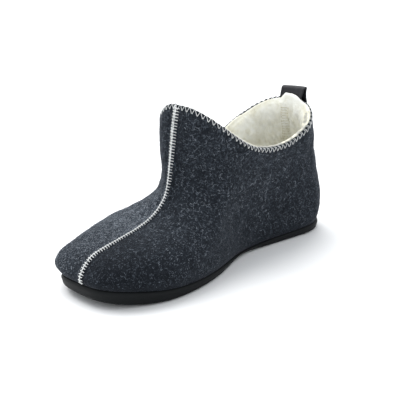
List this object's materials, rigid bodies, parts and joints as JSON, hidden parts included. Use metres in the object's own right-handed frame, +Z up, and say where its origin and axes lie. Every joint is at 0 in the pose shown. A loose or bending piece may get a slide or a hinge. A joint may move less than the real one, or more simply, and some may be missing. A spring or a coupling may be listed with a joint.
{
  "type": "slipper",
  "caption": "Ankle-high felt house slipper for the right foot, with a dipped collar, a stitched seam down the front, pile inside, a leather pull loop at the heel and a flat rubber sole.",
  "frame": {"origin": "on the floor, under the middle of the slipper's length and width", "axes": "+Z up, +Y towards the heel, so that the toe points to -Y, +X towards the inner side of the right foot"},
  "size_m": [0.1119, 0.265, 0.1362],
  "materials": {
    "rubber": "black, smooth, half matt",
    "felt": "charcoal wool felt, mottled, with a short nap",
    "pile": "cream pile",
    "leather": "black, smooth, half matt, folded strap"
  },
  "bodies": {
    "root": {"outsole": "rubber", "upper": "felt", "insole": "pile", "pull_loop": "leather"}
  },
  "joints": []
}
